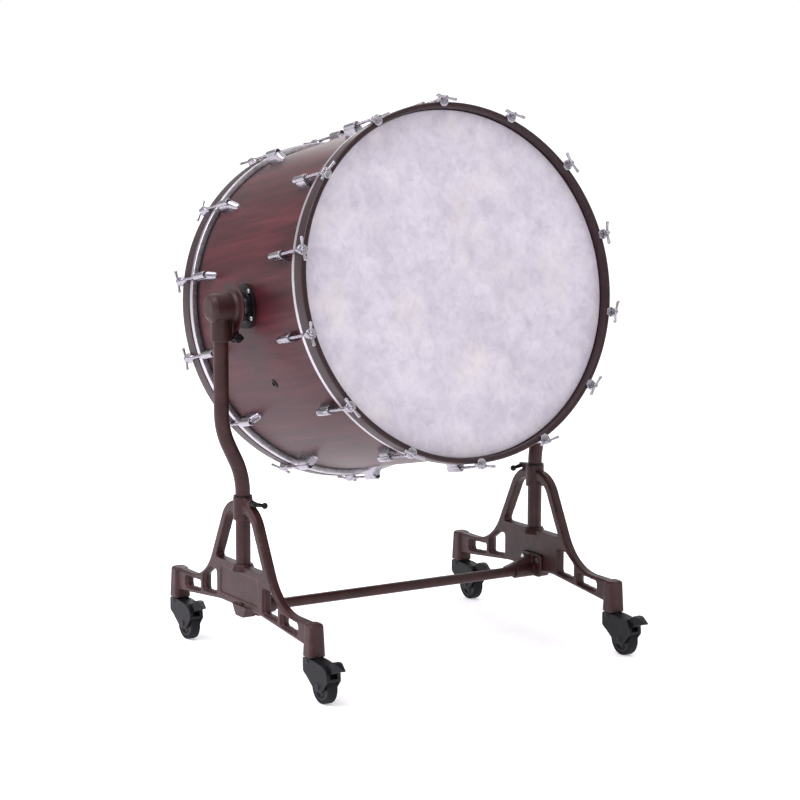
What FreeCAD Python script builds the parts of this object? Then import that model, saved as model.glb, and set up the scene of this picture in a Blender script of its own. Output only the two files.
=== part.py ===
import FreeCAD, Part
import math
import os

# Concert bass drum hung by two trunnions in a height-adjustable stand on four braked swivel casters.
# Millimetres. Origin on the floor below the tilt axis, midway between the uprights.
# +X runs along the tilt axis, -Y is the side of the batter head, +Z is up.

os.makedirs("parts", exist_ok=True)

# ---- drum
drum_depth = 559.0              # between the two bearing edges
shell_outer_radius = 401.5
shell_wall = 7.5
film_thickness = 1.0
film_gap = 0.3                  # head collar to shell
flesh_hoop_wall = 12.7
flesh_hoop_width = 14.0
counterhoop_wall = 13.0
counterhoop_width = 38.0
counterhoop_overhang = 15.5     # outside of the shell
counterhoop_reach = 25.5        # beyond the bearing edge
hoop_edge_round = 4.0
rods_per_head = 14
rod_radius = 3.5
rod_clearance = 7.0             # rod axis outside the counterhoop
claw_width = 26.0
claw_plate = 4.0
claw_gap = 0.2
handle_length = 58.0
handle_radius = 3.6
handle_reach = 13.5             # handle axis beyond the counterhoop face
lug_length = 66.0
lug_width = 24.0
lug_inset = 62.5                # outer end of the lug, in from the bearing edge
lug_cover = 7.0                 # metal over the rod axis
lug_bolt_radius = 2.5
vent_radius = 7.0
vent_angle = 207.4
vent_offset = -15.0
drum_tilt = -11.7               # batter head looks slightly up

# ---- trunnions and pivots
pivot_height = 851.0
flange_radius = 52.0
flange_rise = 11.0
flange_screw_circle = 45.0
trunnion_radius = 12.0
trunnion_collar = 8.0
running_gap = 0.05              # radial, on every shaft that turns or slides
side_gap = 0.5                  # between parts that turn past each other
pivot_reach = 66.5              # upper upright axis outside the shell
hub_radius = 33.5
hub_overhang = 32.0             # beyond the upper upright axis
bush_wall = 4.0
head_disc_radius = 58.0         # round plate at the drum end of the pivot head
head_disc = 6.0
clamp_screw_radius = 4.5
clamp_screw_drop = 70.0         # below the tilt axis, clear of the round plate

# ---- uprights
upright_radius = 17.5
upright_wall = 3.0
upright_offset = 54.0           # sideways step of the bend
bend_radius = 180.0
bend_angle = 26.0
upright_insertion = 44.0        # length held in the pivot head
lift_travel = 120.0

# ---- end frames
frame_thickness = 24.0
frame_round = 6.0
web_thickness = 12.0            # of the arms, round their openings
web_border = 4.5                # between an opening and the thick rim
crown_height = 392.0
crown_half_width = 67.0
crown_radius = 80.0
foot_half_width = 182.0
foot_radius = 134.0
leg_width = 22.0
arm_top_height = 172.0
arm_bottom_height = 115.0
plate_bottom_height = 140.0
plate_top_height = 240.0
plate_half_width = 119.0
boss_height = 245.0
boss_radius = 25.0
collar_radius = 23.0
collar_length = 54.0
collar_rise = 12.0              # collar above the crown
sleeve_wall = 2.0
guide_rod_radius = 9.0
guide_rod_foot = 165.0
guide_bush_length = 40.0
wheelbase_half = 338.0
socket_top_side = 36.0
socket_bottom_side = 42.0
socket_bottom_height = 97.0
stem_radius = 6.0
stem_length = 42.0

# ---- crossbar
crossbar_radius = 12.5
crossbar_height = 140.0
crossbar_setback = -15.0
clamp_block_side = 40.0

# ---- casters
wheel_radius = 40.0
wheel_width = 24.0
tyre_thickness = 9.0
caster_trail = 48.0
hood_width = 37.0
axle_radius = 5.0
pedal_pin_radius = 3.0
pedal_reach = 140.0             # tip from the swivel axis

# ---- derived
half_depth = drum_depth / 2
hoop_outer = shell_outer_radius + counterhoop_overhang
hoop_inner = hoop_outer - counterhoop_wall
hoop_face = half_depth + counterhoop_reach
hoop_back = hoop_face - counterhoop_width
rod_circle = hoop_outer + rod_clearance
lug_end = half_depth - lug_inset
upper_x = shell_outer_radius + pivot_reach
frame_x = upper_x - upright_offset
flange_face = shell_outer_radius + flange_rise
collar_face = flange_face + trunnion_collar
hub_start = collar_face + side_gap
hub_end = upper_x + hub_overhang
collar_top = crown_height + collar_rise
half_frame = frame_thickness / 2
lock_height = collar_top - 9.5
lock_seat = collar_radius + 23.5    # outer face of the height lock's boss


def vector(x, y, z):
    return FreeCAD.Vector(x, y, z)


def save(name, shape):
    shape.exportStep("parts/" + name + ".step")


def rod(radius, start, end):
    axis = end.sub(start)
    return Part.makeCylinder(radius, axis.Length, start, axis)


def ring(outer, inner, start, end):
    return rod(outer, start, end).cut(rod(inner, start, end))


def block(low, high):
    size = high.sub(low)
    return Part.makeBox(size.x, size.y, size.z, low)


def outline(points, radii, place):
    # straight runs with a tangent arc of the given radius at each corner
    starts = []
    middles = []
    ends = []
    count = len(points)
    for i in range(count):
        corner = vector(points[i][0], points[i][1], 0)
        back = vector(points[i - 1][0], points[i - 1][1], 0).sub(corner)
        ahead = vector(points[(i + 1) % count][0], points[(i + 1) % count][1], 0).sub(corner)
        back.normalize()
        ahead.normalize()
        half = back.getAngle(ahead) / 2
        reach = radii[i] / math.tan(half)
        bisector = back.add(ahead)
        if bisector.Length > 1e-9:
            bisector.normalize()
        starts.append(corner.add(back.multiply(reach)))
        ends.append(corner.add(ahead.multiply(reach)))
        middles.append(corner.add(bisector.multiply(radii[i] / math.sin(half) - radii[i])))
    edges = []
    for i in range(count):
        last = place(ends[i - 1].x, ends[i - 1].y)
        first = place(starts[i].x, starts[i].y)
        if last.distanceToPoint(first) > 1e-6:
            edges.append(Part.LineSegment(last, first).toShape())
        if radii[i] > 0:
            middle = place(middles[i].x, middles[i].y)
            end = place(ends[i].x, ends[i].y)
            edges.append(Part.Arc(first, middle, end).toShape())
    return Part.Wire(edges)


def plate_along_x(points, radii, low_x, high_x):
    wire = outline(points, radii, lambda a, b: vector(low_x, a, b))
    return Part.Face(wire).extrude(vector(high_x - low_x, 0, 0))


def plate_along_y(points, radii, low_y, high_y):
    wire = outline(points, radii, lambda a, b: vector(a, low_y, b))
    return Part.Face(wire).extrude(vector(0, high_y - low_y, 0))


def plate_along_z(points, radii, low_z, high_z):
    wire = outline(points, radii, lambda a, b: vector(a, b, low_z))
    return Part.Face(wire).extrude(vector(0, 0, high_z - low_z))


def turned(profile, around):
    # closed profile of (radius, distance along the axis) pairs, turned about Y or X
    if around == "y":
        points = [vector(r, a, 0) for r, a in profile]
        axis = vector(0, 1, 0)
    else:
        points = [vector(a, r, 0) for r, a in profile]
        axis = vector(1, 0, 0)
    wire = Part.makePolygon(points + [points[0]])
    return Part.Face(wire).revolve(vector(0, 0, 0), axis, 360)


def mirrored_pairs(points):
    # closes a half outline, given from its top centre down to its bottom centre
    return points + [(-a, b) for a, b in reversed(points)]


def on_drum(shape):
    shape = shape.copy()
    shape.rotate(vector(0, 0, 0), vector(1, 0, 0), drum_tilt)
    shape.translate(vector(0, 0, pivot_height))
    return shape


def facing(shape, end):
    # pieces are made for the resonant end at +Y and mirrored to the batter end
    if end == "batter":
        return shape.mirror(vector(0, 0, 0), vector(0, 1, 0))
    return shape


def on_side(shape, side):
    # pieces are made for the right side and mirrored to the left
    if side == "left":
        return shape.mirror(vector(0, 0, 0), vector(1, 0, 0))
    return shape


def rod_angles():
    return [90 - k * 360 / rods_per_head for k in range(rods_per_head)]


def around_drum(shape):
    copies = []
    for angle in rod_angles():
        piece = shape.copy()
        piece.rotate(vector(0, 0, 0), vector(0, 1, 0), -angle)
        copies.append(piece)
    return Part.makeCompound(copies)


# ---- drum pieces

def make_shell():
    inner = shell_outer_radius - shell_wall
    profile = [(shell_outer_radius, -half_depth + 3), (shell_outer_radius - 2, -half_depth),
               (shell_outer_radius - 3, -half_depth), (inner, -half_depth + 5),
               (inner, half_depth - 5), (shell_outer_radius - 3, half_depth),
               (shell_outer_radius - 2, half_depth), (shell_outer_radius, half_depth - 3)]
    shell = turned(profile, "y")
    vent = rod(vent_radius, vector(inner - 20, 0, 0), vector(shell_outer_radius + 20, 0, 0))
    vent.rotate(vector(0, 0, 0), vector(0, 1, 0), -vent_angle)
    vent.translate(vector(0, vent_offset, 0))
    cuts = [vent]
    for side in ("left", "right"):
        cuts += [on_side(hole, side) for hole in flange_screw_holes()]
    for end in ("batter", "resonant"):
        cuts += facing(around_drum(lug_bolt_shank()), end).Solids
    return shell.cut(cuts)


def make_head():
    # a film stretched over the bearing edge, with its collar running down to the flesh hoop
    inside = shell_outer_radius + film_gap
    outside = inside + film_thickness
    low = half_depth + film_gap
    high = low + film_thickness
    foot = hoop_back - flesh_hoop_width + 2
    profile = [(0, low), (inside - 1.2, low), (inside, low - 3), (inside, foot),
               (outside, foot), (outside, high - 3.6), (outside - 1.7, high), (0, high)]
    return turned(profile, "y")


def make_flesh_hoop():
    inside = shell_outer_radius + film_gap + film_thickness
    outside = inside + flesh_hoop_wall
    low = hoop_back - flesh_hoop_width
    profile = [(inside, low), (outside - 2, low), (outside, low + 2),
               (outside, hoop_back), (inside, hoop_back)]
    return turned(profile, "y")


def make_counterhoop():
    soft = hoop_edge_round
    profile = [(hoop_inner, hoop_back), (hoop_outer - 1, hoop_back), (hoop_outer, hoop_back + 1),
               (hoop_outer, hoop_face - soft), (hoop_outer - soft * 0.3, hoop_face - soft * 0.3),
               (hoop_outer - soft, hoop_face), (hoop_inner + soft, hoop_face),
               (hoop_inner + soft * 0.3, hoop_face - soft * 0.3), (hoop_inner, hoop_face - soft)]
    return turned(profile, "y")


def make_claws():
    # a hooked plate over the face of the counterhoop, with a bored boss outside it
    half = claw_width / 2
    base = hoop_outer + claw_gap
    top = rod_circle + rod_radius + 3.5
    face = hoop_face + claw_gap
    points = [(base, hoop_face - 24), (top - 4, hoop_face - 24), (top, hoop_face - 14),
              (top, face + claw_plate + 2), (top - 5, face + claw_plate + 2),
              (base - 1, face + claw_plate), (hoop_inner + 3, face + claw_plate - 1),
              (hoop_inner + 3, face), (base, face)]
    radii = [0, 2, 3, 2, 1, 0, 1.2, 0, 0]
    wire = outline(points, radii, lambda a, b: vector(a, b, -half))
    claw = Part.Face(wire).extrude(vector(0, 0, claw_width))
    taper = outline([(hoop_inner - 5, -7.5), (base - 4, -half), (top + 1, -8),
                     (top + 1, 8), (base - 4, half), (hoop_inner - 5, 7.5)],
                    [0, 3, 0, 0, 3, 0], lambda a, b: vector(a, hoop_face - 30, b))
    claw = claw.common(Part.Face(taper).extrude(vector(0, 50, 0)))
    bore = rod(rod_radius, vector(rod_circle, hoop_face - 30, 0), vector(rod_circle, hoop_face + 20, 0))
    return around_drum(claw.cut(bore))


def make_tension_rods():
    # a T-handled screw from the lug, through the claw, to the cross handle
    handle_at = hoop_face + handle_reach
    seat = hoop_face + claw_gap + claw_plate + 2
    half = handle_length / 2
    shank = rod(rod_radius, vector(rod_circle, lug_end - 20, 0), vector(rod_circle, handle_at, 0))
    washer = rod(6.5, vector(rod_circle, seat, 0), vector(rod_circle, seat + 2.5, 0))
    hub = rod(5.2, vector(rod_circle, seat + 2.5, 0), vector(rod_circle, handle_at + 4.5, 0))
    bar = rod(handle_radius, vector(rod_circle, handle_at, -half + 4), vector(rod_circle, handle_at, half - 4))
    knobs = [Part.makeSphere(handle_radius + 0.9, vector(rod_circle, handle_at, s * (half - 4.5))) for s in (-1, 1)]
    screw = shank.fuse([washer, hub, bar] + knobs)
    return around_drum(screw)


def lug_bolt_shank():
    # from inside the shell into the middle of the lug
    inner = shell_outer_radius - shell_wall
    at = lug_end - lug_length / 2 - 6
    return rod(lug_bolt_radius, vector(inner - 1, at, 0), vector(shell_outer_radius + 10, at, 0))


def make_lug_bolts():
    inner = shell_outer_radius - shell_wall
    at = lug_end - lug_length / 2 - 6
    head = rod(5.0, vector(inner - 6, at, 0), vector(inner - 1, at, 0))
    washer = rod(7.5, vector(inner - 1.2, at, 0), vector(inner - 0.1, at, 0))
    return around_drum(lug_bolt_shank().fuse([head, washer]))


def make_lug():
    half = lug_width / 2
    top = rod_circle + lug_cover
    low = lug_end - lug_length
    points = [(shell_outer_radius - 3, low), (shell_outer_radius + 8, low), (top, low + 27),
              (top, lug_end), (shell_outer_radius - 3, lug_end)]
    wire = outline(points, [0, 6, 9, 1.5, 0], lambda a, b: vector(a, b, -half))
    lug = Part.Face(wire).extrude(vector(0, 0, lug_width))
    section = outline([(shell_outer_radius - 5, -half), (top - 13, -half), (top + 0.01, -half + 6),
                       (top + 0.01, half - 6), (top - 13, half), (shell_outer_radius - 5, half)],
                      [0, 8, 0, 0, 8, 0], lambda a, b: vector(a, low - 5, b))
    lug = lug.common(Part.Face(section).extrude(vector(0, lug_length + 10, 0)))
    shell_body = rod(shell_outer_radius, vector(0, low - 20, 0), vector(0, lug_end + 20, 0))
    bore = rod(rod_radius, vector(rod_circle, lug_end - 20, 0), vector(rod_circle, lug_end + 5, 0))
    tail = rod(rod_radius + 1.8, vector(rod_circle, low - 5, 0), vector(rod_circle, lug_end - 24, 0))
    return lug.cut([shell_body, bore, tail, lug_bolt_shank()])


def make_lugs():
    one = around_drum(make_lug())
    return Part.makeCompound(one.Solids + facing(one, "batter").Solids)


def make_vent_grommet():
    inner = shell_outer_radius - shell_wall
    pieces = rod(vent_radius, vector(inner - 2, 0, 0), vector(shell_outer_radius + 3, 0, 0))
    lip = rod(vent_radius + 4, vector(shell_outer_radius - 1, 0, 0), vector(shell_outer_radius + 3, 0, 0))
    lip = lip.cut(rod(shell_outer_radius, vector(0, -30, 0), vector(0, 30, 0)))
    bore = rod(vent_radius - 2.5, vector(inner - 10, 0, 0), vector(shell_outer_radius + 10, 0, 0))
    grommet = pieces.fuse(lip).cut(bore)
    grommet.rotate(vector(0, 0, 0), vector(0, 1, 0), -vent_angle)
    grommet.translate(vector(0, vent_offset, 0))
    return grommet


def flange_screw_spots():
    step = flange_screw_circle * math.sqrt(0.5)
    return [(step, step), (-step, step), (-step, -step), (step, -step)]


def flange_screw_holes():
    inner = shell_outer_radius - shell_wall - 20
    return [rod(3.0, vector(inner, y, z), vector(flange_face + 5, y, z)) for y, z in flange_screw_spots()]


def make_shell_flange():
    # a cast disc whose back is hollowed to the curve of the shell
    rim_face = flange_face - 4
    disc = rod(flange_radius, vector(shell_outer_radius - 12, 0, 0), vector(rim_face, 0, 0))
    middle = Part.makeCone(37, 32, 4, vector(rim_face, 0, 0), vector(1, 0, 0))
    shell_body = rod(shell_outer_radius, vector(0, -100, 0), vector(0, 100, 0))
    bore = rod(trunnion_radius, vector(shell_outer_radius + 2, 0, 0), vector(flange_face + 5, 0, 0))
    return disc.fuse(middle).cut([shell_body, bore] + flange_screw_holes())


def make_flange_screws():
    rim_face = flange_face - 4
    screws = []
    for y, z in flange_screw_spots():
        shank = rod(3.0, vector(shell_outer_radius - shell_wall - 8, y, z), vector(rim_face + 1, y, z))
        head = Part.makeCone(5.5, 4.0, 3.2, vector(rim_face, y, z), vector(1, 0, 0))
        screws.append(shank.fuse(head))
    right = Part.makeCompound(screws)
    return Part.makeCompound(right.Solids + on_side(right, "left").Solids)


def make_trunnion():
    shaft = rod(trunnion_radius, vector(shell_outer_radius + 2, 0, 0), vector(hub_end - 9, 0, 0))
    collar = rod(24.0, vector(flange_face, 0, 0), vector(collar_face, 0, 0))
    return shaft.fuse(collar)


# ---- uprights

def lift_place(x, y, z):
    return vector(x, y, pivot_height + z)


def make_pivot_head():
    # round hub on the trunnion with a wide plate at its drum end, a boss below for the upright
    # and a clamp ear
    bush_outer = trunnion_radius + running_gap + bush_wall
    step = hub_start + 15
    profile = [(0, hub_start), (27, hub_start), (27, step - 3), (hub_radius, step + 2),
               (hub_radius, hub_end - 11), (hub_radius - 3.5, hub_end - 4), (hub_radius - 11, hub_end), (0, hub_end)]
    hub = turned(profile, "x")
    plate_start = step - 2
    rim = head_disc_radius
    plate = turned([(0, plate_start), (rim - 2, plate_start), (rim, plate_start + 2),
                    (rim, plate_start + head_disc - 1.5), (rim - 1.5, plate_start + head_disc),
                    (hub_radius + 6, plate_start + head_disc), (hub_radius - 1, plate_start + head_disc + 7),
                    (0, plate_start + head_disc + 7)], "x")
    hub = hub.fuse(plate)
    hub.translate(vector(0, 0, pivot_height))
    boss_foot = -hub_radius - upright_insertion
    boss = rod(upright_radius + 5.5, lift_place(upper_x, 0, boss_foot), lift_place(upper_x, 0, -10))
    ear_low = lift_place(hub_start + 5, -12, -clamp_screw_drop - 12)
    ear = block(ear_low, lift_place(hub_start + 23, 12, -20))
    web = block(lift_place(hub_start + 20, -6, boss_foot + 12), lift_place(upper_x, 6, -20))
    solid = hub.fuse([boss, ear, web])
    bush_bore = rod(bush_outer, lift_place(hub_start - 5, 0, 0), lift_place(hub_end - 7, 0, 0))
    tube_bore = rod(upright_radius, lift_place(upper_x, 0, boss_foot - 5), lift_place(upper_x, 0, -hub_radius))
    screw_bore = rod(clamp_screw_radius + running_gap, lift_place(hub_start + 14, -30, -clamp_screw_drop),
                     lift_place(hub_start + 14, 30, -clamp_screw_drop))
    slit = block(lift_place(hub_start - 5, -1.2, -clamp_screw_drop - 20), lift_place(hub_start + 19, 1.2, -15))
    return solid.cut([bush_bore, tube_bore, screw_bore, slit])


def make_pivot_bush():
    inside = trunnion_radius + running_gap
    return ring(inside + bush_wall, inside, lift_place(hub_start + 1, 0, 0), lift_place(hub_end - 7, 0, 0))


def make_tilt_lock():
    # hand screw through the clamp ear, with a winged knob towards the batter side
    at_x = hub_start + 14
    at_z = -clamp_screw_drop
    shank = rod(clamp_screw_radius, lift_place(at_x, -24, at_z), lift_place(at_x, 15, at_z))
    knob = Part.makeCone(8, 11, 14, lift_place(at_x, -13, at_z), vector(0, -1, 0))
    tip = 12.5
    wing = plate_along_y([(at_x - tip, -3.5), (at_x - 5, -6), (at_x + 5, -6), (at_x + tip, -3.5),
                          (at_x + tip, 3.5), (at_x + 5, 6), (at_x - 5, 6), (at_x - tip, 3.5)],
                         [3, 3, 3, 3, 3, 3, 3, 3], -29, -17)
    wing.translate(vector(0, 0, pivot_height + at_z))
    nut = rod(8.5, lift_place(at_x, 12.3, at_z), lift_place(at_x, 18.5, at_z))
    return shank.fuse([knob, wing, nut])


def upright_path():
    # from the pivot head down, a step towards the middle, and on down to the rest on the boss
    angle = math.radians(bend_angle)
    step = upright_offset - 2 * bend_radius * (1 - math.cos(angle))
    straight = step / math.sin(angle)
    low = collar_top + 9
    high = low + 2 * bend_radius * math.sin(angle) + straight * math.cos(angle)
    half = angle / 2
    top = vector(upper_x, 0, pivot_height - hub_radius)
    bend_top = vector(upper_x, 0, high)
    middle_one = vector(upper_x - bend_radius * (1 - math.cos(half)), 0, high - bend_radius * math.sin(half))
    end_one = vector(upper_x - bend_radius * (1 - math.cos(angle)), 0, high - bend_radius * math.sin(angle))
    end_straight = end_one.add(vector(-straight * math.sin(angle), 0, -straight * math.cos(angle)))
    middle_two = vector(frame_x + bend_radius * (1 - math.cos(half)), 0, low + bend_radius * math.sin(half))
    bend_low = vector(frame_x, 0, low)
    foot = vector(frame_x, 0, boss_height)
    edges = [Part.LineSegment(top, bend_top), Part.Arc(bend_top, middle_one, end_one),
             Part.LineSegment(end_one, end_straight), Part.Arc(end_straight, middle_two, bend_low),
             Part.LineSegment(bend_low, foot)]
    return Part.Wire([edge.toShape() for edge in edges])


def make_upright():
    path = upright_path()
    start = vector(upper_x, 0, pivot_height - hub_radius)
    tubes = []
    for radius in (upright_radius, upright_radius - upright_wall):
        circle = Part.Wire([Part.Circle(start, vector(0, 0, -1), radius).toShape()])
        tubes.append(path.makePipeShell([circle], True, False))
    return tubes[0].cut(tubes[1])


def make_guide_bush():
    inside = guide_rod_radius + running_gap
    outside = upright_radius - upright_wall
    foot = vector(frame_x, 0, boss_height)
    return ring(outside, inside, foot, vector(frame_x, 0, boss_height + guide_bush_length))


# ---- stand

def frame_outline():
    half = [(crown_half_width, crown_height), (foot_half_width, arm_top_height),
            (wheelbase_half, arm_top_height), (wheelbase_half, arm_bottom_height),
            (100, plate_bottom_height)]
    radii = [crown_radius, foot_radius, 0, 0, 60]
    return mirrored_pairs(half), radii + radii[::-1]


def leg_slope():
    return (foot_half_width - crown_half_width) / (crown_height - arm_top_height)


def inside_leg(height):
    # half width of the arch opening at a height
    slant = math.sqrt(1 + leg_slope() ** 2)
    return crown_half_width + leg_slope() * (crown_height - height) - leg_width * slant


def arch_window():
    top = crown_height - leg_width - 2
    half = [(inside_leg(top), top), (inside_leg(plate_top_height), plate_top_height)]
    radii = [52, 7]
    return mirrored_pairs(half), radii + radii[::-1]


def arm_openings():
    # the upright slot beside the plate and the long slot near the socket
    web = plate_half_width + 66
    slot = [(plate_half_width + 1, plate_bottom_height + 12), (plate_half_width + 1, 205),
            (plate_half_width + 30, 205), (web, 181), (web, plate_bottom_height + 8)]
    hole = [(web + 20, 142), (web + 20, 163), (wheelbase_half - 58, 158), (wheelbase_half - 58, 136)]
    return [(slot, [4, 5, 8, 5, 4]), (hole, [5, 5, 5, 5])]


def web_pockets(points, radii):
    # thin the arm to its web round an opening, from both faces
    depth = (frame_thickness - web_thickness) / 2
    pockets = []
    for face_x, reach in ((frame_x + half_frame, -depth), (frame_x - half_frame, depth)):
        wire = outline(points, radii, lambda a, b: vector(face_x + reach, a, b))
        border = Part.Face(wire).makeOffset2D(web_border)
        pockets.append(border.extrude(vector(-reach * 2, 0, 0)))
    return pockets


def rounded_square(side, height, corner):
    half = side / 2
    points = [(half, half), (-half, half), (-half, -half), (half, -half)]
    return outline(points, [corner] * 4, lambda a, b: vector(frame_x + a, b, height))


def make_socket(y):
    # tapered column that takes the caster stem
    top = arm_top_height + 1
    layers = [rounded_square(socket_bottom_side, socket_bottom_height, 10),
              rounded_square(socket_top_side, top - 4, 9)]
    column = Part.makeLoft(layers, True, True)
    cap = Part.makeLoft([rounded_square(socket_top_side, top - 4, 9),
                         rounded_square(socket_top_side - 8, top, 8)], True, True)
    column = column.fuse(cap)
    column.translate(vector(0, y, 0))
    return column


def bracket_bolt_spots():
    return [(crossbar_setback - 30, 168), (crossbar_setback + 30, 168)]


def make_end_frame(lock_sign):
    low = frame_x - half_frame
    high = frame_x + half_frame
    points, radii = frame_outline()
    body = plate_along_x(points, radii, low, high)
    rims = [edge for edge in body.Edges if abs(edge.BoundBox.XLength) < 1e-6]
    body = body.makeFillet(frame_round, rims)
    window_points, window_radii = arch_window()
    cuts = [plate_along_x(window_points, window_radii, low - 5, high + 5)]
    for opening, corner_radii in arm_openings():
        cuts.append(plate_along_x(opening, corner_radii, low - 5, high + 5))
        other = [(-a, b) for a, b in reversed(opening)]
        cuts.append(plate_along_x(other, corner_radii[::-1], low - 5, high + 5))
        for shape_points, shape_radii in ((opening, corner_radii), (other, corner_radii[::-1])):
            cuts += web_pockets(shape_points, shape_radii)
    body = body.cut(cuts)
    # a plain sunk panel on the outer face of the plate
    panel = [(-98, 158), (98, 158), (92, 224), (-92, 224)]
    body = body.cut(plate_along_x(panel, [8, 8, 8, 8], high - 2, high + 5))
    collar = rod(collar_radius, vector(frame_x, 0, collar_top - collar_length), vector(frame_x, 0, collar_top))
    boss = Part.makeCone(boss_radius + 4, boss_radius - 3, 17, vector(frame_x, 0, boss_height - 17))
    lock_boss = rod(9, vector(frame_x, lock_sign * lock_seat, lock_height),
                    vector(frame_x, lock_sign * 10, lock_height))
    side = clamp_block_side / 2
    foot = crossbar_height - 18
    brow = plate_bottom_height + 8
    clamp = plate_along_x([(crossbar_setback - side, foot), (crossbar_setback + side, foot),
                           (crossbar_setback + side + 17, brow), (crossbar_setback - side - 17, brow)],
                          [5, 5, 0, 0], low, frame_x + side)
    sockets = [make_socket(y) for y in (-wheelbase_half, wheelbase_half)]
    body = body.fuse([collar, boss, lock_boss, clamp] + sockets)
    sleeve_outer = upright_radius + running_gap + sleeve_wall
    bores = [rod(sleeve_outer, vector(frame_x, 0, collar_top - collar_length - 5),
                 vector(frame_x, 0, collar_top + 5)),
             rod(guide_rod_radius, vector(frame_x, 0, guide_rod_foot), vector(frame_x, 0, boss_height + 5)),
             rod(crossbar_radius, vector(low - 5, crossbar_setback, crossbar_height),
                 vector(frame_x + side - 4, crossbar_setback, crossbar_height)),
             rod(clamp_screw_radius + running_gap, vector(frame_x, lock_sign * (lock_seat + 5), lock_height),
                 vector(frame_x, lock_sign * (sleeve_outer - 1), lock_height))]
    for y in (-wheelbase_half, wheelbase_half):
        top = socket_bottom_height + stem_length + 1
        bores.append(rod(stem_radius + running_gap, vector(frame_x, y, socket_bottom_height - 5),
                         vector(frame_x, y, top)))
    for y, z in bracket_bolt_spots():
        bores.append(rod(4, vector(low - 5, y, z), vector(low + 14, y, z)))
    return body.cut(bores)


def make_guide_sleeve():
    inside = upright_radius + running_gap
    outside = inside + sleeve_wall
    low = vector(frame_x, 0, collar_top - collar_length)
    body = rod(outside, low, vector(frame_x, 0, collar_top))
    lip = rod(outside + 2.5, vector(frame_x, 0, collar_top), vector(frame_x, 0, collar_top + 3))
    bore = rod(inside, low, vector(frame_x, 0, collar_top + 3))
    return body.fuse(lip).cut(bore)


def make_guide_rod():
    # stands inside the upright and keeps it straight while it is raised
    top = boss_height + lift_travel + guide_bush_length - 5
    shaft = rod(guide_rod_radius, vector(frame_x, 0, guide_rod_foot), vector(frame_x, 0, top - 3))
    tip = Part.makeCone(guide_rod_radius, guide_rod_radius - 2.5, 3, vector(frame_x, 0, top - 3))
    return shaft.fuse(tip)


def make_height_lock():
    # hand screw that bears on the upright, with a short drooping lever towards the drum
    start = -lock_seat - 0.4
    hub = Part.makeCone(7.4, 7.0, 16, vector(frame_x, start, lock_height), vector(0, -1, 0))
    shank = rod(clamp_screw_radius, vector(frame_x, -upright_radius - running_gap - sleeve_wall - 0.6, lock_height),
                vector(frame_x, start - 10, lock_height))
    arm_y = start - 9
    along = vector(-1, 0, -0.22)
    arm = Part.makeCone(5.6, 4.2, 26, vector(frame_x, arm_y, lock_height), along)
    ball = Part.makeSphere(7.5, vector(frame_x - 28, arm_y, lock_height - 6.16), along)
    return hub.fuse([shank, arm, ball])


def make_crossbar():
    end = frame_x + clamp_block_side / 2 - 4
    left = vector(-end, crossbar_setback, crossbar_height)
    right = vector(end, crossbar_setback, crossbar_height)
    return ring(crossbar_radius, crossbar_radius - 2.5, left, right)


def make_bracket():
    # sleeve on the crossbar with a rib up to a pad bolted to the end frame
    face = frame_x - half_frame
    pad_foot = crossbar_height - 15
    pad = plate_along_x([(crossbar_setback - 42, pad_foot), (crossbar_setback + 42, pad_foot),
                         (crossbar_setback + 42, 182), (crossbar_setback - 42, 182)],
                        [12, 12, 8, 8], face - 8, face)
    sleeve = rod(crossbar_radius + 5, vector(face - 60, crossbar_setback, crossbar_height),
                 vector(face - 4, crossbar_setback, crossbar_height))
    rib = plate_along_y([(face - 96, crossbar_height + crossbar_radius - 1), (face - 4, crossbar_height),
                         (face - 4, 180)], [2, 0, 0], crossbar_setback - 7, crossbar_setback + 7)
    bar = rod(crossbar_radius, vector(face - 120, crossbar_setback, crossbar_height),
              vector(face + 5, crossbar_setback, crossbar_height))
    cuts = [bar]
    for y, z in bracket_bolt_spots():
        cuts.append(rod(4, vector(face - 20, y, z), vector(face + 5, y, z)))
    return pad.fuse([sleeve, rib]).cut(cuts)


def make_bracket_bolts():
    face = frame_x - half_frame
    bolts = []
    for y, z in bracket_bolt_spots():
        shank = rod(4, vector(face - 9, y, z), vector(face + 13, y, z))
        hexagon = [(y + 7 * math.cos(math.radians(60 * k)), z + 7 * math.sin(math.radians(60 * k)))
                   for k in range(6)]
        head = plate_along_x(hexagon, [0.4] * 6, face - 13, face - 8)
        bolts.append(shank.fuse(head))
    right = Part.makeCompound(bolts)
    return Part.makeCompound(right.Solids + on_side(right, "left").Solids)


# ---- caster, swivel axis at x = 0, y = 0, trailing towards -Y

def pedal_pin():
    return -caster_trail - 30, wheel_radius + 38


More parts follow.
